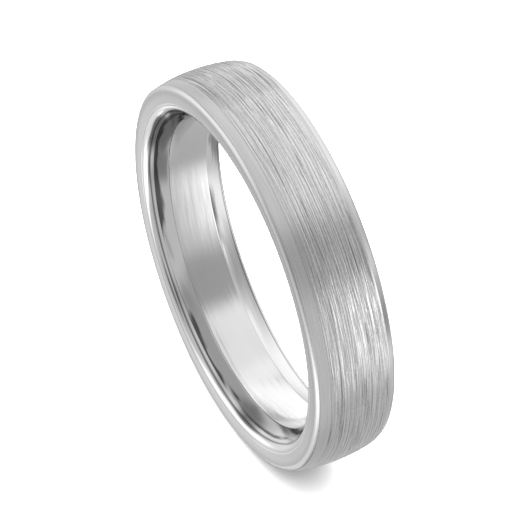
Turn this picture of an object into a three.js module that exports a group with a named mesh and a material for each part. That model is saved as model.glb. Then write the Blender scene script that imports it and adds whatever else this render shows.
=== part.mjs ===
// Wedding band: a comfort-fit sleeve that carries a satin-brushed outer band
// between two polished edge rings.
// Millimetres, +Z up. The ring stands upright: its axis is Y, its centre is the origin,
// and its front face looks towards -Y.

import * as THREE from 'three';

// Driving dimensions
const ringWidth = 5.0; // from side face to side face
const marginRadius = 11.58; // outer radius at the edge of each corner
const crownHeight = 0.28; // how far the middle of the outside stands above that radius
const boreRadius = 9.35; // smallest radius of the finger hole
const sleeveRadius = 10.45; // outside of the sleeve, where the other three rings sit
const seam = 0.015; // gap left at every joint line
const segments = 72; // facets round the ring

const cornerReach = 0.36; // how far the rounded outer corner eats into the side face
const cornerDrop = 0.14; // how far it eats into the outside
const frontMargin = 0.66; // polished margin between the front corner and the brushed band
const backMargin = 0.3; // the same at the back

const sideFaceRadius = 10.5; // where the flat side face turns into the inner shoulder
const mouthRadius = 10.02; // finger hole where the shoulder ends
const mouthDepth = 0.3; // how far that mouth lies behind the side face
const mouthLand = 0.15; // short straight land between the mouth and the sleeve
const boreStraight = 2.3; // width of the straight middle of the bore
const boreBulge = 0.05; // how far the bore's flared ends stand out from a cone
const shoulderBulge = 0.06; // how far the shoulder stands out from a cone

// Places worked out from them
const halfWidth = ringWidth / 2;
const cornerEdge = halfWidth - cornerDrop;
const sleeveEnd = halfWidth - mouthDepth - mouthLand;
const frontBandEdge = cornerEdge - frontMargin;
const backBandEdge = cornerEdge - backMargin;

const point = (radius, y) => new THREE.Vector2(radius, y);

// Outer radius of the gently domed outside at a place across the width.
function crownRadius(y) {
  return marginRadius + crownHeight * (1 - (y / cornerEdge) ** 2);
}

// Points along the domed outside from one y to another, both included.
function crown(from, to, steps) {
  const points = [];
  for (let i = 0; i <= steps; i += 1) {
    const y = THREE.MathUtils.lerp(from, to, i / steps);
    points.push(point(crownRadius(y), y));
  }
  return points;
}

// A shallow curve between two profile points that bulges to the left of its travel.
function bow(start, end, bulge, steps) {
  const across = end.clone().sub(start);
  const left = point(-across.y, across.x).normalize();
  const points = [];
  for (let i = 0; i <= steps; i += 1) {
    const t = i / steps;
    points.push(start.clone().addScaledVector(across, t).addScaledVector(left, 4 * bulge * t * (1 - t)));
  }
  return points;
}

// The back outer corner: an arc that leaves the side face smoothly and meets the outside at an edge.
function corner(steps) {
  const arcRadius = (cornerReach ** 2 + cornerDrop ** 2) / (2 * cornerDrop);
  const turn = Math.asin(cornerReach / arcRadius);
  const points = [];
  for (let i = 0; i <= steps; i += 1) {
    const angle = turn * (i / steps);
    const radius = marginRadius - cornerReach + arcRadius * Math.sin(angle);
    points.push(point(radius, halfWidth - arcRadius * (1 - Math.cos(angle))));
  }
  return points;
}

// The same profile on the other side of the ring. Reversing it keeps the faces pointing out.
function mirror(points) {
  return points.map((p) => point(p.x, -p.y)).reverse();
}

// Comfort-fit sleeve: a straight bore that flares towards both ends.
function sleeveProfile() {
  const end = sleeveEnd - seam;
  const flare = bow(point(boreRadius, boreStraight / 2), point(mouthRadius, end), boreBulge, 5);
  const outside = [point(sleeveRadius, -end), point(sleeveRadius, end)];
  return [...outside, ...flare.reverse(), ...mirror(flare)];
}

// Back edge ring: an L-shaped section whose lip covers the end of the sleeve.
function edgeRingProfile(bandEdge) {
  const inner = sleeveRadius + seam;
  const start = bandEdge + seam;
  const mouth = point(mouthRadius, halfWidth - mouthDepth);
  const shoulder = bow(mouth, point(sideFaceRadius, halfWidth), shoulderBulge, 5);
  return [
    point(inner, start),
    ...crown(start, cornerEdge, 3),
    ...corner(5).reverse().slice(1),
    ...shoulder.reverse(),
    point(mouthRadius, sleeveEnd),
    point(inner, sleeveEnd),
  ];
}

// Brushed band between the two edge rings, flat inside and domed outside.
function outerBandProfile() {
  const inner = sleeveRadius + seam;
  return [point(inner, -frontBandEdge), ...crown(-frontBandEdge, backBandEdge, 10), point(inner, backBandEdge)];
}

// A closed profile in (radius, y), turned about Y.
function ring(name, profile, material) {
  const geometry = new THREE.LatheGeometry([...profile, profile[0].clone()], segments);
  const mesh = new THREE.Mesh(geometry, material);
  mesh.name = name;
  return mesh;
}

function polishedMetal() {
  return new THREE.MeshStandardMaterial({ color: 0xc9c9c9, roughness: 0.12, metalness: 1 });
}

function brushedMetal() {
  return new THREE.MeshStandardMaterial({ color: 0xb9b9b9, roughness: 0.38, metalness: 1 });
}

const weddingBand = new THREE.Group();
weddingBand.add(
  ring('inner_sleeve', sleeveProfile(), polishedMetal()),
  ring('outer_band', outerBandProfile(), brushedMetal()),
  ring('front_edge_ring', mirror(edgeRingProfile(frontBandEdge)), polishedMetal()),
  ring('back_edge_ring', edgeRingProfile(backBandEdge), polishedMetal()),
);

export default weddingBand;
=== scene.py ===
"""A wedding band on a white studio floor: a comfort-fit sleeve, a satin-brushed outer band and two
polished edge rings, each turned from its own section. Metres, Z up, the ring's axis along Y."""

import math

import bpy
import numpy as np
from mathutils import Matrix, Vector


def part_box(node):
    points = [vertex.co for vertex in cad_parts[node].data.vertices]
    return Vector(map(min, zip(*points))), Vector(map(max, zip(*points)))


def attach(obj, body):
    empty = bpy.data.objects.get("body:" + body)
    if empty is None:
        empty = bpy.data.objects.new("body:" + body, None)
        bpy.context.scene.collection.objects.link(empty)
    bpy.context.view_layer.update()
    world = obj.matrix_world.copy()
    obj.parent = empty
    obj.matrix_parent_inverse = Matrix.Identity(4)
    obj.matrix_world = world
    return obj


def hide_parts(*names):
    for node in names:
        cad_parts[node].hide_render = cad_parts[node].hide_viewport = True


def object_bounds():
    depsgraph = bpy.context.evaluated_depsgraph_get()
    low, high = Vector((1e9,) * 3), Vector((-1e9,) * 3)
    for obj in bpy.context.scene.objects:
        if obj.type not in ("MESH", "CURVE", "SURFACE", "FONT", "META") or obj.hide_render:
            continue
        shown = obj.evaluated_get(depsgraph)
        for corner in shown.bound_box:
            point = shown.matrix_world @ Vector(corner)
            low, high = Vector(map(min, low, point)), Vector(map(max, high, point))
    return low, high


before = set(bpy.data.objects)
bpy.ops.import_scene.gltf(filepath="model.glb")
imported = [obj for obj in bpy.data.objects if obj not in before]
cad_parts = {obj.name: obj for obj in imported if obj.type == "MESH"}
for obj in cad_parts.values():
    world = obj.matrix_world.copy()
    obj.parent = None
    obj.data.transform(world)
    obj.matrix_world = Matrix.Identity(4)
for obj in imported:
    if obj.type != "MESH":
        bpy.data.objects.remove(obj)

CAD_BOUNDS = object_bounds()
MM = 0.001

# Places that the frame states. An edge ring's section is written for the back one and mirrored for the
# front one.
HALF_WIDTH = CAD_BOUNDS[1].y
SLEEVE_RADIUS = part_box("inner_sleeve")[1].x
SLEEVE_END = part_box("inner_sleeve")[1].y
BAND_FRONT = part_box("outer_band")[0].y
BAND_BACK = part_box("outer_band")[1].y
FRONT_RING_EDGE = -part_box("front_edge_ring")[1].y
BACK_RING_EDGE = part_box("back_edge_ring")[0].y
SEAM = BACK_RING_EDGE - BAND_BACK

# The rest of the section, as the CAD model has it
MARGIN_RADIUS = 11.58 * MM  # outside, at the edge of each corner
CROWN_HEIGHT = 0.28 * MM  # how far the middle of the outside stands above that radius
BORE_RADIUS = 9.35 * MM
BACK_STRAIGHT = 1.15 * MM  # how far the straight part of the bore reaches towards the back
BORE_BULGE = 0.05 * MM  # how far the bore's flared ends stand out from a cone
CORNER_REACH = 0.36 * MM  # how far the rounded outer corner eats into the side face
CORNER_DROP = 0.14 * MM  # how far it eats into the outside
SIDE_FACE_RADIUS = 10.5 * MM  # where the flat side face turns into the inner shoulder
SHOULDER_BULGE = 0.06 * MM  # how far the shoulder stands out from a cone
MOUTH_RADIUS = 10.02 * MM
MOUTH_DEPTH = 0.3 * MM
CORNER_EDGE = HALF_WIDTH - CORNER_DROP
MOUTH_PLACE = HALF_WIDTH - MOUTH_DEPTH

# What the photo shows beyond the CAD model, and what polishing leaves
FRONT_STRAIGHT = 1.315 * MM  # the straight part of the bore reaches further towards the front
BORE_DOME = 0.03 * MM  # how far the middle of the bore stands in
BACK_ROLL = 0.07 * MM  # how much further the back margin rolls over than the front one
FACE_DISH = 0.03 * MM  # how far the side face is lower at the shoulder
FACE_BULGE = 0.004 * MM  # how far the side face stands out from a cone
CREASE_WIDTH = 0.035 * MM  # the fine groove between side face and shoulder
CREASE_DEPTH = 0.02 * MM
BACK_JOINT = 0.003 * MM  # the back joint between sleeve and edge ring, polished almost shut
SEAM_FILL = 0.01 * MM  # how much of each gap beside the brushed band solder and polish have filled

# Roundings of the corners
EDGE_ROUNDING = 0.022 * MM
SEAM_ROUNDING = 0.01 * MM
LIP_ROUNDING = 0.004 * MM
BORE_ROUNDING = 0.05 * MM  # where the straight part of the bore meets each flare
BACK_MOUTH_ROUNDING = 0.06 * MM
ROUNDING_STEPS = (0.2, 0.4, 0.6, 0.8)

# Fineness of the meshes
SEGMENTS = 360
CURVE_STEPS = 24
ROW_SPACING = 0.06 * MM
FINE_SPACING = 0.04 * MM
CREASE_SPACING = CREASE_WIDTH / 3
HIDDEN_SPACING = 0.4 * MM
BAND_ROW_SPACING = 0.0155 * MM
GUARD = 0.2  # a row this far before each rounding, as a share of it, keeps its shading off the flat
GUARD_LIMIT = 0.4  # and never further than this share of the way to the next row

# The strokes that the brush cuts, from the finest to the scratches. Widths, depths and lengths are ranges
# in millimetres.
BRUSH_SEED = 20
BRUSH_STROKES = [
    {"count": 7000, "width": (0.018, 0.026), "depth": (0.002, 0.005), "length": (1.5, 7.0)},
    {"count": 1500, "width": (0.020, 0.030), "depth": (0.005, 0.010), "length": (2.0, 8.0)},
    {"count": 300, "width": (0.018, 0.028), "depth": (0.010, 0.018), "length": (1.0, 5.0)},
    {"count": 45, "width": (0.020, 0.028), "depth": (0.020, 0.032), "length": (0.8, 3.0)},
]
STROKE_LEAN = 0.006  # spread of the strokes' slopes
BRUSH_LEVELLING = 0.036 * MM  # relief broader than this is taken out again
BRUSH_FADE = 0.2 * MM  # the relief fades out over this distance from both joint lines

# ---------------------------------------------------------------- sections


def crown_radius(y):
    """Radius of the gently domed outside at a place across the width."""
    return MARGIN_RADIUS + CROWN_HEIGHT * (1 - (y / CORNER_EDGE) ** 2)


def crown(start, end):
    """Points along the domed outside from one y to another."""
    return [(crown_radius(y), y) for y in np.linspace(start, end, 4 * CURVE_STEPS)]


def bow(start, end, bulge):
    """A shallow curve between two section points that bulges to the left of its travel."""
    start = np.array(start)
    across = np.array(end) - start
    left = np.array((-across[1], across[0])) / np.linalg.norm(across)
    return [start + across * t + left * 4 * bulge * t * (1 - t) for t in np.linspace(0, 1, CURVE_STEPS)]


def corner(roll):
    """The rounded outer corner, from the domed outside to the side face, which it meets smoothly. The
    outside has dropped by roll where the corner starts."""
    arc_radius = (CORNER_REACH**2 + CORNER_DROP**2) / (2 * CORNER_DROP)
    turn = math.asin(CORNER_REACH / arc_radius)
    squeeze = 1 - roll / CORNER_REACH
    return [
        (
            MARGIN_RADIUS - CORNER_REACH + squeeze * arc_radius * math.sin(angle),
            HALF_WIDTH - arc_radius * (1 - math.cos(angle)),
        )
        for angle in np.linspace(turn, 0, CURVE_STEPS)
    ]


def flare(straight):
    """One end of the bore, from the end of its straight part to the mouth."""
    return np.array(bow((BORE_RADIUS, straight), (MOUTH_RADIUS, MOUTH_PLACE), BORE_BULGE))


def cut_at(line, place):
    """The parts of a line before and after a place along the axis."""
    middle = np.array([(np.interp(place, line[:, 1], line[:, 0]), place)])
    before = line[line[:, 1] < place]
    after = line[line[:, 1] > place]
    return np.concatenate([before, middle]), np.concatenate([middle, after])


def resampled(points, start_cut, end_cut, spacing):
    """The same line with even steps, shortened by a cut at each end."""
    points = np.array(points, float)
    steps = np.linalg.norm(np.diff(points, axis=0), axis=1)
    along = np.concatenate([[0], np.cumsum(steps)])
    length = along[-1] - start_cut - end_cut
    places = np.linspace(start_cut, along[-1] - end_cut, 1 + max(1, math.ceil(length / spacing)))
    return np.column_stack([np.interp(places, along, points[:, k]) for k in (0, 1)])


def guard_row(end, beside, rounding):
    """A row close to the rounded end of a line."""
    step = beside - end
    return end + step * min(GUARD_LIMIT, GUARD * rounding / np.linalg.norm(step))


def rounded(start, tip, end):
    """Rows round a corner, from one line to the next."""
    return [(1 - t) ** 2 * start + 2 * t * (1 - t) * np.array(tip) + t**2 * end for t in ROUNDING_STEPS]


def section(strokes):
    """A closed section from (points, rounding of the corner at their end, row spacing) strokes."""
    rows = []
    for i, (points, end_rounding, spacing) in enumerate(strokes):
        start_rounding = strokes[i - 1][1]
        next_points = strokes[(i + 1) % len(strokes)][0]
        line = resampled(points, start_rounding, end_rounding, spacing)
        guarded = [line[:1]]
        if start_rounding:
            guarded.append([guard_row(line[0], line[1], start_rounding)])
        guarded.append(line[1:-1])
        if end_rounding:
            guarded.append([guard_row(line[-1], line[-2], end_rounding), line[-1]])
        rows.extend(np.concatenate([part for part in guarded if len(part)]))
        if end_rounding:
            next_start = resampled(next_points, end_rounding, 0, spacing)[0]
            rows.extend(rounded(line[-1], points[-1], next_start))
    return np.array(rows)


def mirrored(rows):
    """The same section on the other side of the ring."""
    return rows[::-1] * (1, -1)


def edge_ring_section(band_side, straight, joint, mouth_rounding, roll):
    """An edge ring: an L-shaped section whose lip covers the end of the sleeve and carries the last
    stretch of the bore's flare, which starts where the bore's straight part ends."""
    inner = SLEEVE_RADIUS + SEAM
    lip = SLEEVE_END + joint
    lip_flare = cut_at(flare(straight), lip)[1][::-1]
    band_side -= SEAM_FILL
    face_edge = np.array((SIDE_FACE_RADIUS, HALF_WIDTH - FACE_DISH))
    groove = face_edge - (0, CREASE_DEPTH)
    groove_outer = face_edge + (CREASE_WIDTH / 2, 0)
    groove_inner = face_edge - (CREASE_WIDTH / 2, CREASE_WIDTH / 4)
    margin = [
        (radius - roll * (y - band_side) / (CORNER_EDGE - band_side), y)
        for radius, y in crown(band_side, CORNER_EDGE)
    ]
    outer_corner = corner(roll)
    side_face = bow(outer_corner[-1], groove_outer, FACE_BULGE)
    shoulder = bow(lip_flare[0], groove_inner, SHOULDER_BULGE)[::-1]
    return section(
        [
            (margin, EDGE_ROUNDING, ROW_SPACING),
            (outer_corner, 0, FINE_SPACING),
            (side_face, 0, ROW_SPACING),
            ([groove_outer, groove], 0, CREASE_SPACING),
            ([groove, groove_inner], 0, CREASE_SPACING),
            (shoulder, mouth_rounding, FINE_SPACING),
            (lip_flare, LIP_ROUNDING, ROW_SPACING),
            ([lip_flare[-1], (inner, lip)], 0, HIDDEN_SPACING),
            ([(inner, lip), (inner, band_side)], 0, HIDDEN_SPACING),
            ([(inner, band_side), margin[0]], SEAM_ROUNDING, HIDDEN_SPACING),
        ]
    )


def sleeve_section():
    """The comfort-fit sleeve: a straight bore that flares towards both ends."""
    back_flare = cut_at(flare(BACK_STRAIGHT), SLEEVE_END)[0][::-1]
    front_flare = cut_at(flare(FRONT_STRAIGHT), SLEEVE_END)[0] * (1, -1)
    bore = bow(back_flare[-1], front_flare[0], -BORE_DOME)
    front_end = (SLEEVE_RADIUS, -SLEEVE_END)
    back_end = (SLEEVE_RADIUS, SLEEVE_END)
    return section(
        [
            ([front_end, back_end], 0, HIDDEN_SPACING),
            ([back_end, back_flare[0]], BACK_JOINT, HIDDEN_SPACING),
            (back_flare, BORE_ROUNDING, FINE_SPACING),
            (bore, BORE_ROUNDING, ROW_SPACING),
            (front_flare, EDGE_ROUNDING, FINE_SPACING),
            ([front_flare[-1], front_end], 0, HIDDEN_SPACING),
        ]
    )


def outer_band_section():
    """The brushed band: flat inside and domed outside."""
    inner = SLEEVE_RADIUS + SEAM
    front_wall, back_wall = ((inner, y) for y in (BAND_FRONT, BAND_BACK))
    front_rim, back_rim = ((crown_radius(y), y) for y in (BAND_FRONT, BAND_BACK))
    return section(
        [
            ([front_wall, front_rim], SEAM_ROUNDING, HIDDEN_SPACING),
            (crown(BAND_FRONT, BAND_BACK), SEAM_ROUNDING, BAND_ROW_SPACING),
            ([back_rim, back_wall], 0, HIDDEN_SPACING),
            ([back_wall, front_wall], 0, HIDDEN_SPACING),
        ]
    )


# ---------------------------------------------------------------- brushed relief


def smoothstep(x):
    """0 up to 0 and 1 from 1 on, with a smooth step between."""
    x = np.clip(x, 0, 1)
    return x * x * (3 - 2 * x)


def add_strokes(relief, angles, places, rng, count, width, depth, length):
    """Cuts strokes of a range of widths, depths and lengths round the band into the relief."""
    step = angles[1] - angles[0]
    for _ in range(count):
        stroke_width = rng.uniform(*width) * MM
        stroke_depth = rng.uniform(*depth) * MM
        reach = rng.uniform(*length) * MM / 2 / MARGIN_RADIUS
        middle = rng.uniform(0, 2 * math.pi)
        y = rng.uniform(places[0], places[-1])
        lean = rng.normal(0, STROKE_LEAN) * MARGIN_RADIUS
        near = np.arange(math.ceil((middle - reach) / step), math.floor((middle + reach) / step) + 1)
        rows = np.flatnonzero(abs(places - y) < 3 * stroke_width)
        if not len(near) or not len(rows):
            continue
        t = (near * step - middle) / reach
        across = (places[rows][None, :] - (y + lean * t * reach)[:, None]) / stroke_width
        cut = stroke_depth * np.exp(-(across**2)) * (1 - t * t)[:, None]
        relief[np.ix_(near % len(angles), rows)] -= cut


def blurred_across(relief, reach):
    """The relief smoothed across the strokes, by a bell curve whose width is reach rows."""
    offsets = np.arange(-math.ceil(3 * reach), math.ceil(3 * reach) + 1)
    weights = np.exp(-0.5 * (offsets / reach) ** 2)
    weights /= weights.sum()
    rows = np.arange(relief.shape[1])
    total = np.zeros_like(relief)
    for offset, weight in zip(offsets, weights):
        total += weight * relief[:, np.clip(rows + offset, 0, len(rows) - 1)]
    return total


def brushed_relief(angles, places):
    """Heights of the brushed surface over its plain dome: overlapping strokes, and a few deep ones."""
    rng = np.random.default_rng(BRUSH_SEED)
    relief = np.zeros((len(angles), len(places)))
    for strokes in BRUSH_STROKES:
        add_strokes(relief, angles, places, rng, **strokes)
    relief -= blurred_across(relief, BRUSH_LEVELLING / (places[1] - places[0]))
    from_front = smoothstep((places - places[0]) / BRUSH_FADE)
    from_back = smoothstep((places[-1] - places) / BRUSH_FADE)
    return relief * from_front * from_back


def band_relief(angles, rows):
    """The brushed relief on the domed outside of the band's section, and nothing elsewhere."""
    tolerance = 0.001 * MM
    heights = np.zeros((len(angles), len(rows)))
    outside = np.flatnonzero(rows[:, 0] > crown_radius(rows[:, 1]) - tolerance)
    outside = outside[np.argsort(rows[outside, 1])]
    heights[:, outside] = brushed_relief(angles, rows[outside, 1])
    return heights


# ---------------------------------------------------------------- meshes


def new_object(name, points, faces, material):
    """A mesh object with one material, in the scene."""
    mesh = bpy.data.meshes.new(name)
    mesh.from_pydata(points, [], faces)
    mesh.materials.append(material)
    piece = bpy.data.objects.new(name, mesh)
    bpy.context.scene.collection.objects.link(piece)
    return piece


def turned(name, rows, material, relief=None):
    """A closed section turned about Y. The relief moves each point in or out along its radius."""
    angles = np.arange(SEGMENTS) * 2 * math.pi / SEGMENTS
    radii = np.repeat(rows[:, 0][None, :], SEGMENTS, axis=0)
    if relief is not None:
        radii = radii + relief(angles, rows)
    places = np.repeat(rows[:, 1][None, :], SEGMENTS, axis=0)
    x = radii * np.cos(angles)[:, None]
    z = radii * np.sin(angles)[:, None]
    points = np.stack([x, places, z], axis=-1).reshape(-1, 3)
    count = len(rows)
    i, j = np.meshgrid(np.arange(SEGMENTS), np.arange(count), indexing="ij")
    i_next = (i + 1) % SEGMENTS
    j_next = (j + 1) % count
    corners = (i * count + j, i_next * count + j, i_next * count + j_next, i * count + j_next)
    faces = np.stack([c.ravel() for c in corners], axis=-1)
    area = np.sum(rows[:, 0] * np.roll(rows[:, 1], -1) - np.roll(rows[:, 0], -1) * rows[:, 1])
    if area > 0:
        faces = faces[:, ::-1]
    piece = new_object(name, points.tolist(), faces.tolist(), material)
    piece.data.shade_smooth()
    return piece


# ---------------------------------------------------------------- materials


class Nodes:
    """Short calls for building one node tree."""

    def __init__(self, tree):
        self.tree = tree
        tree.nodes.clear()

    def add(self, kind, settings=None, **inputs):
        """A node with its settings and its inputs, whose names have _ for each space."""
        node = self.tree.nodes.new(kind)
        for key, value in (settings or {}).items():
            setattr(node, key, value)
        for key, value in inputs.items():
            self.set(node, key.replace("_", " "), value)
        return node

    def set(self, node, socket, value):
        """Links an input to another node's output, or gives it a fixed value."""
        target = node.inputs[socket]
        if isinstance(value, bpy.types.NodeSocket):
            self.tree.links.new(value, target)
        else:
            target.default_value = value

    def math(self, operation, *values):
        node = self.add("ShaderNodeMath", {"operation": operation})
        for socket, value in enumerate(values):
            self.set(node, socket, value)
        return node.outputs[0]

    def product(self, *factors):
        result = factors[0]
        for factor in factors[1:]:
            result = self.math("MULTIPLY", result, factor)
        return result

    def blend(self, first, second, share):
        """Two values mixed, with this share of the second."""
        return self.math("ADD", self.product(first, 1 - share), self.product(second, share))

    def ramp(self, value, low, high, at_low, at_high, curve="LINEAR"):
        """Maps a value from low..high to at_low..at_high, held at both ends."""
        node = self.add("ShaderNodeMapRange", {"interpolation_type": curve, "clamp": True})
        for socket, number in enumerate((value, low, high, at_low, at_high)):
            self.set(node, socket, number)
        return node.outputs[0]

    def grey(self, level):
        return self.add("ShaderNodeCombineColor", Red=level, Green=level, Blue=level).outputs[0]


def new_material(name, **inputs):
    """A material, its nodes and its Principled shader with these inputs."""
    material = bpy.data.materials.new(name)
    material.use_nodes = True
    nodes = Nodes(material.node_tree)
    shader = nodes.add("ShaderNodeBsdfPrincipled", **inputs)
    nodes.add("ShaderNodeOutputMaterial", Surface=shader.outputs[0])
    return material, nodes, shader


def ring_places(nodes):
    """The place along the X, Y and Z axes, and the distance from the ring's axis."""
    place = nodes.add("ShaderNodeTexCoord").outputs["Object"]
    flat = nodes.add("ShaderNodeVectorMath", {"operation": "MULTIPLY"})
    nodes.set(flat, 0, place)
    nodes.set(flat, 1, (1, 0, 1))
    radius = nodes.add("ShaderNodeVectorMath", {"operation": "LENGTH"})
    nodes.set(radius, 0, flat.outputs[0])
    axes = nodes.add("ShaderNodeSeparateXYZ", Vector=place).outputs
    return axes["X"], axes["Y"], axes["Z"], radius.outputs["Value"]


def turned_streaks(nodes, along, across, detail, seed, aside=0.0):
    """Noise drawn out round the ring's axis, as tool and polishing marks are: features per millimetre
    along the marks and across them, on the outside, the bore and the side faces alike."""
    x, y, z, radius = ring_places(nodes)
    radius_share = 1.6  # the radius counts too, because a side face lies at one place along the axis
    level = nodes.math("ADD", y, nodes.product(radius, radius_share))
    if aside:
        level = nodes.math("ADD", level, aside)
    stretched = nodes.add(
        "ShaderNodeCombineXYZ",
        X=nodes.product(x, along / MM),
        Y=nodes.product(level, across / MM),
        Z=nodes.product(z, along / MM),
    )
    noise = nodes.add(
        "ShaderNodeTexNoise",
        {"noise_dimensions": "4D"},
        Vector=stretched.outputs[0],
        W=seed,
        Scale=1.0,
        Detail=detail,
    )
    return noise.outputs[0]


def fine_lines(nodes, along, across, seed, width):
    """Fine parallel lines about 0.5: two copies of the same streaks, a line's width apart, subtracted."""
    first, second = (turned_streaks(nodes, along, across, 1, seed, aside) for aside in (0.0, width))
    return nodes.math("ADD", nodes.math("SUBTRACT", first, second), 0.5)


# ---------------------------------------------------------------- brushed metal


def brush_lines(nodes):
    """The fine lines and grain of the brushing, about 0.5, thinning out raggedly towards both joints."""
    short_lines = fine_lines(nodes, along=0.3, across=12, seed=1.0, width=0.04 * MM)
    long_lines = fine_lines(nodes, along=0.12, across=10, seed=5.0, width=0.045 * MM)
    grain = turned_streaks(nodes, along=5, across=16, detail=1, seed=7.0)
    lines = nodes.blend(nodes.blend(short_lines, long_lines, 0.5), grain, 0.2)
    _, y, _, _ = ring_places(nodes)
    wander = turned_streaks(nodes, along=0.3, across=16, detail=1, seed=1.0)
    ragged = nodes.math("ADD", y, nodes.product(nodes.math("SUBTRACT", wander, 0.5), 1.5 * MM))
    front = nodes.ramp(ragged, BAND_FRONT, BAND_FRONT + 0.4 * MM, 0.3, 1.0)
    back = nodes.ramp(ragged, BAND_BACK - 0.3 * MM, BAND_BACK - 0.05 * MM, 1.0, 0.15)
    strength = nodes.math("MINIMUM", front, back)
    return nodes.math("ADD", nodes.product(nodes.math("SUBTRACT", lines, 0.5), strength), 0.5)


def painted_side_shade_and_scratches(nodes):
    """Painted shade that darkens the band towards -X, mottled there with darker scratch marks."""
    x, _, _, _ = ring_places(nodes)
    unshaded_side = nodes.ramp(x, -5 * MM, -1.5 * MM, 0.0, 1.0)
    marks = turned_streaks(nodes, along=0.25, across=18, detail=2, seed=10.0)
    side_shade_marks = nodes.ramp(marks, 0.38, 0.46, 0.4, 0.84)
    return nodes.math("MAXIMUM", unshaded_side, side_shade_marks)


def painted_scratch_shade(nodes):
    """Scratch marks here and there, all round the band, darkened with painted shade in their grooves."""
    scratches = turned_streaks(nodes, along=0.2, across=15, detail=2, seed=9.0)
    # Painted shade: the scratch lines are darkened down to 0.36.
    return nodes.ramp(scratches, 0.33, 0.39, 0.36, 1.0)


def brushed_metal():
    """White metal brushed round the ring, which spreads its reflections across the strokes."""
    material, nodes, shader = new_material(
        "brushed_metal", Metallic=1.0, Anisotropic=0.6, Anisotropic_Rotation=0.25
    )
    lines = brush_lines(nodes)
    level = nodes.ramp(lines, 0.35, 0.57, 0.35, 0.64)
    # Painted shade in the base colour: the band darker towards -X and in its scratch grooves.
    level = nodes.product(level, painted_side_shade_and_scratches(nodes), painted_scratch_shade(nodes))
    broad = turned_streaks(nodes, along=0.12, across=3, detail=2, seed=2.0)
    bump = nodes.add("ShaderNodeBump", Strength=1.0, Distance=0.018 * MM, Height=lines)
    tangent = nodes.add("ShaderNodeTangent", {"direction_type": "RADIAL", "axis": "Y"})
    nodes.set(shader, "Base Color", nodes.grey(level))
    nodes.set(shader, "Roughness", nodes.ramp(broad, 0.3, 0.7, 0.205, 0.245))
    nodes.set(shader, "Normal", bump.outputs[0])
    nodes.set(shader, "Tangent", tangent.outputs[0])
    return material


# ---------------------------------------------------------------- polished metal


def painted_joint_shade(nodes):
    """Painted shade darkens the flare in streaks beside the front joint."""
    _, y, _, _ = ring_places(nodes)
    streaks = turned_streaks(nodes, along=0.25, across=8, detail=2, seed=11.0)
    from_joint = nodes.math("ABSOLUTE", nodes.math("ADD", y, SLEEVE_END))
    near = nodes.ramp(from_joint, 0.02 * MM, 0.6 * MM, 0.62, 0.2)
    spread = nodes.math("ADD", nodes.math("SUBTRACT", streaks, 1.0), near)
    return nodes.ramp(spread, 0.02, 0.12, 1.0, 0.2)


def corner_satin(nodes):
    """Roughness that rises from the side face to the outer corner, which is left a little more satin."""
    _, _, _, radius = ring_places(nodes)
    return nodes.ramp(radius, SIDE_FACE_RADIUS, MARGIN_RADIUS - CORNER_REACH, 0.0, 0.14)


def painted_corner_shade(nodes):
    """Painted shade darkens the outer corner, which dims its highlight."""
    _, _, _, radius = ring_places(nodes)
    corner_start = MARGIN_RADIUS - CORNER_REACH
    before = nodes.ramp(radius, corner_start - 0.3 * MM, corner_start, 1.0, 0.82)
    beyond = nodes.ramp(radius, MARGIN_RADIUS - 0.08 * MM, MARGIN_RADIUS, 0.82, 1.0)
    return nodes.math("MAXIMUM", before, beyond)


def painted_mouth_shade(nodes):
    """Painted shade darkens the last stretch of the bore, up to the edge of the mouth."""
    _, _, _, radius = ring_places(nodes)
    before = nodes.ramp(radius, MOUTH_RADIUS - 0.09 * MM, MOUTH_RADIUS - 0.02 * MM, 1.0, 0.3)
    beyond = nodes.ramp(radius, MOUTH_RADIUS, MOUTH_RADIUS + 0.02 * MM, 0.0, 1.0)
    # Painted shade: down to 0.3 just inside the mouth.
    return nodes.math("MAXIMUM", before, beyond)


def stray_marks(nodes):
    """Stray brush marks run on over the margin."""
    _, _, _, radius = ring_places(nodes)
    streaks = turned_streaks(nodes, along=0.3, across=14, detail=1, seed=13.0)
    strays = nodes.ramp(streaks, 0.35, 0.65, -0.06, 0.04)
    outside = nodes.ramp(radius, MARGIN_RADIUS - 0.08 * MM, MARGIN_RADIUS, 0.0, 1.0)
    return nodes.math("ADD", nodes.product(strays, outside), 1.0)


def polished_metal(name, roughness, waviness, shades, satin=None):
    """Polished white metal with fine marks round the ring. Each of the shades, which are painted shade and
    stray brush marks, darkens or lightens part of it, and satin roughens part of it."""
    material, nodes, shader = new_material(name, Metallic=1.0)
    broad = turned_streaks(nodes, along=0.15, across=0.6, detail=2, seed=4.0)
    level = nodes.ramp(broad, 0.3, 0.7, 0.57, 0.61)
    # The base colour carries the painted shade and stray marks passed in as shades.
    level = nodes.product(level, *(shade(nodes) for shade in shades))
    nodes.set(shader, "Base Color", nodes.grey(level))
    fine = turned_streaks(nodes, along=0.15, across=10, detail=3, seed=3.0)
    rough = nodes.ramp(fine, 0.3, 0.7, *roughness)
    if satin:
        rough = nodes.math("ADD", rough, satin(nodes))
    nodes.set(shader, "Roughness", rough)
    waves = turned_streaks(nodes, along=0.25, across=2.5, detail=1, seed=6.0)
    ripples = turned_streaks(nodes, along=1.2, across=5, detail=2, seed=8.0)
    polish = nodes.add("ShaderNodeBump", Strength=1.0, Distance=waviness, Height=waves)
    rippled = nodes.add("ShaderNodeBump", Strength=1.0, Distance=waviness / 4, Height=ripples)
    hairlines = nodes.add("ShaderNodeBump", Strength=1.0, Distance=0.0005 * MM, Height=fine)
    nodes.set(rippled, "Normal", polish.outputs[0])
    nodes.set(hairlines, "Normal", rippled.outputs[0])
    nodes.set(shader, "Normal", hairlines.outputs[0])
    return material


# ---------------------------------------------------------------- the ring


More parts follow.
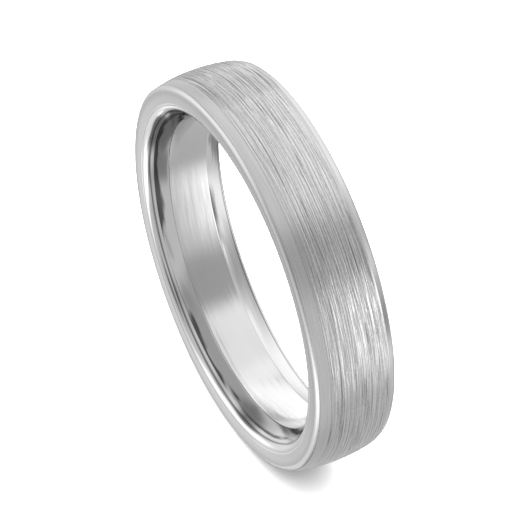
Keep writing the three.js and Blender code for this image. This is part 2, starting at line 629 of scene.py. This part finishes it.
def build_ring():
    # The bore metal carries painted shade in streaks beside the front joint.
    bore_metal = polished_metal(
        "polished_bore_metal", roughness=(0.14, 0.18), waviness=0.011 * MM, shades=[painted_joint_shade]
    )
    # The edge metal carries painted shade on the outer corner and at the mouth of the bore.
    edge_metal = polished_metal(
        "polished_edge_metal",
        roughness=(0.1, 0.16),
        waviness=0.006 * MM,
        shades=[painted_corner_shade, painted_mouth_shade, stray_marks],
        satin=corner_satin,
    )
    front_section = edge_ring_section(
        FRONT_RING_EDGE, FRONT_STRAIGHT, joint=SEAM, mouth_rounding=EDGE_ROUNDING, roll=0.0
    )
    back_section = edge_ring_section(
        BACK_RING_EDGE, BACK_STRAIGHT, joint=BACK_JOINT, mouth_rounding=BACK_MOUTH_ROUNDING, roll=BACK_ROLL
    )
    sleeve = turned("sleeve_bore", sleeve_section(), bore_metal)
    band = turned("brushed_band", outer_band_section(), brushed_metal(), band_relief)
    front_rim = turned("front_rim", mirrored(front_section), edge_metal)
    back_rim = turned("back_rim", back_section, edge_metal)
    for piece, node, slot in (
        (sleeve, "inner_sleeve", "polished_bore"),
        (band, "outer_band", "brushed_outside"),
        (front_rim, "front_edge_ring", "polished_edges"),
        (back_rim, "back_edge_ring", "polished_edges"),
    ):
        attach(piece, "root")
        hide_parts(node)


# ---------------------------------------------------------------- studio

BASE_LEVEL = 0.8
# Soft panels that the metal mirrors, each laid over the ones before it. Bearings are in
# degrees from +X towards +Y, and heights in degrees above the horizon: name, bearing, half width, height,
# half height, softness of the rim, brightness.
PANELS = [
    ("overhead", 0, 180, 90, 28, 20, 0.9),
    ("back overhead", 95, 65, 64, 16, 14, 1.3),
    ("back wall", 103, 30, 30, 24, 16, 1.12),
    ("left overhead", 178, 14, 50, 30, 16, 1.02),
    ("camera side", -55, 100, 42, 18, 16, 0.52),
    ("front slot", -103, 14, 23, 6, 8, 0.95),
    ("ground", 0, 180, -90, 30, 10, 0.66),
    ("front ground", -100, 60, -74, 16, 12, 0.2),
    ("low front left", -122, 29, -52, 14, 10, 1.12),
    ("left ground gap", -166, 10, -49, 3, 5, 0.4),
    ("left ground", -158, 8, -54, 3, 5, 1.6),
    ("low left ground", -150, 9, -64, 5, 6, 1.6),
    ("shoulder shade", 178, 10, -57, 4, 6, 0.42),
    ("left floor", -160, 18, -22, 14, 14, 1.1),
    ("front left box", -126, 14, 4, 12, 12, 1.75),
    ("front left floor", -136, 20, -14, 12, 12, 1.8),
    ("front floor box", -94, 23, -42, 9, 12, 2.75),
    ("right front floor", -45, 17, -49, 13, 12, 0.3),
    ("front post", -84, 9, 2, 12, 10, 0.22),
    ("front left gap", -150, 13, 16, 13, 14, 0.25),
    ("front right gap", -68, 8, 27, 9, 10, 0.42),
    ("thin gap", -56, 2, -8, 16, 4, 0.42),
    ("behind gap", 157, 13, -44, 11, 8, 0.3),
    ("right low gap", 35, 20, -56, 12, 14, 0.66),
    ("right box", 33, 10, -12, 22, 26, 2.3),
    ("right upper box", 41, 7, 7, 12, 12, 3.1),
    ("right gap", 53, 8, 0, 16, 8, 0.22),
    ("back right box", 78, 22, -25, 9, 12, 1.45),
    ("back right post", 71, 6, -14, 10, 7, 1.4),
    ("margin gap", 60, 6, -17, 9, 6, 0.1),
    ("margin post", 66, 3, 9, 6, 5, 2.0),
    ("back upper box", 107, 16, 26, 6, 8, 1.6),
    ("back gap", 82, 8, 8, 11, 18, 0.5),
    ("lower back gap", 94, 7, -8, 8, 16, 0.5),
    ("back floor gap", 102, 12, -47, 7, 8, 0.3),
    ("back left box", 126, 15, -2, 25, 22, 1.55),
    ("shoulder gap", 132, 17, -35, 11, 8, 0.22),
    ("left wall box", 158, 6, 18, 34, 9, 1.75),
    ("left wall top", 146, 12, 50, 9, 12, 1.5),
]


def panel_mask(nodes, offset, half, softness):
    """1 within half of the centre on either side and 0 beyond it, with a soft rim."""
    distance = nodes.math("ABSOLUTE", offset)
    return nodes.ramp(distance, half - softness / 2, half + softness / 2, 1.0, 0.0, "SMOOTHSTEP")


def build_world():
    """A soft studio as the metal mirrors it: grey all round, with soft boxes and gaps between them."""
    world = bpy.data.worlds.new("studio")
    bpy.context.scene.world = world
    world.use_nodes = True
    nodes = Nodes(world.node_tree)
    direction = nodes.add("ShaderNodeTexCoord").outputs["Generated"]
    axes = nodes.add("ShaderNodeSeparateXYZ", Vector=direction).outputs
    degrees = 180 / math.pi
    bearing = nodes.product(nodes.math("ARCTAN2", axes["Y"], axes["X"]), degrees)
    height = nodes.product(nodes.math("ARCSINE", axes["Z"]), degrees)
    level = BASE_LEVEL
    for _, centre, half_width, middle, half_height, softness, brightness in PANELS:
        mask = panel_mask(nodes, nodes.math("SUBTRACT", height, middle), half_height, softness)
        if half_width < 180:
            aside = nodes.math("WRAP", nodes.math("SUBTRACT", bearing, centre), 180.0, -180.0)
            mask = nodes.product(mask, panel_mask(nodes, aside, half_width, softness))
        level = nodes.math("MULTIPLY_ADD", mask, nodes.math("SUBTRACT", brightness, level), level)
    background = nodes.add("ShaderNodeBackground", Strength=1.0, Color=nodes.grey(level))
    nodes.add("ShaderNodeOutputWorld", Surface=background.outputs[0])


def build_floor():
    """A plain pale floor that touches the bottom of the ring. The metal doesn't mirror it."""
    reach = 40.0
    level = CAD_BOUNDS[0].z
    corners = [(x * reach, y * reach, level) for x, y in ((-1, -1), (1, -1), (1, 1), (-1, 1))]
    paper, nodes, shader = new_material("floor_paper", Roughness=0.9, Specular_IOR_Level=0.1)
    noise = nodes.add("ShaderNodeTexNoise", Scale=40.0).outputs[0]
    nodes.set(shader, "Base Color", nodes.grey(nodes.ramp(noise, 0.3, 0.7, 0.84, 0.86)))
    floor = new_object("floor", corners, [(0, 1, 2, 3)], paper)
    floor.visible_glossy = False


def build_floor_light():
    """A large soft box overhead that lights the floor. The metal mirrors the studio instead."""
    light_height = 0.8
    data = bpy.data.lights.new("overhead_box", "AREA")
    data.shape = "DISK"
    data.size = 1.6
    data.energy = 34.0
    light = bpy.data.objects.new("overhead_box", data)
    light.location = (0, 0, light_height)
    light.visible_glossy = False
    light.visible_camera = False
    bpy.context.scene.collection.objects.link(light)


def build_camera():
    """A long lens at the photograph's viewing angle."""
    azimuth = math.radians(62.82)
    elevation = math.radians(45.4)
    distance = 0.35
    back = Vector(
        (
            math.sin(azimuth) * math.cos(elevation),
            -math.cos(azimuth) * math.cos(elevation),
            math.sin(elevation),
        )
    )
    centre = (CAD_BOUNDS[0] + CAD_BOUNDS[1]) / 2
    data = bpy.data.cameras.new("camera")
    data.sensor_width = 36
    data.lens = 417.4
    data.clip_start = 0.01
    data.clip_end = 50
    data.shift_x = 0.0045
    data.shift_y = 0.0012
    camera = bpy.data.objects.new("camera", data)
    camera.location = centre + back * distance
    camera.rotation_euler = back.to_track_quat("Z", "Y").to_euler()
    bpy.context.scene.collection.objects.link(camera)
    bpy.context.scene.camera = camera


build_ring()
build_floor()
build_world()
build_floor_light()
build_camera()
bpy.context.scene.view_settings.view_transform = "Standard"
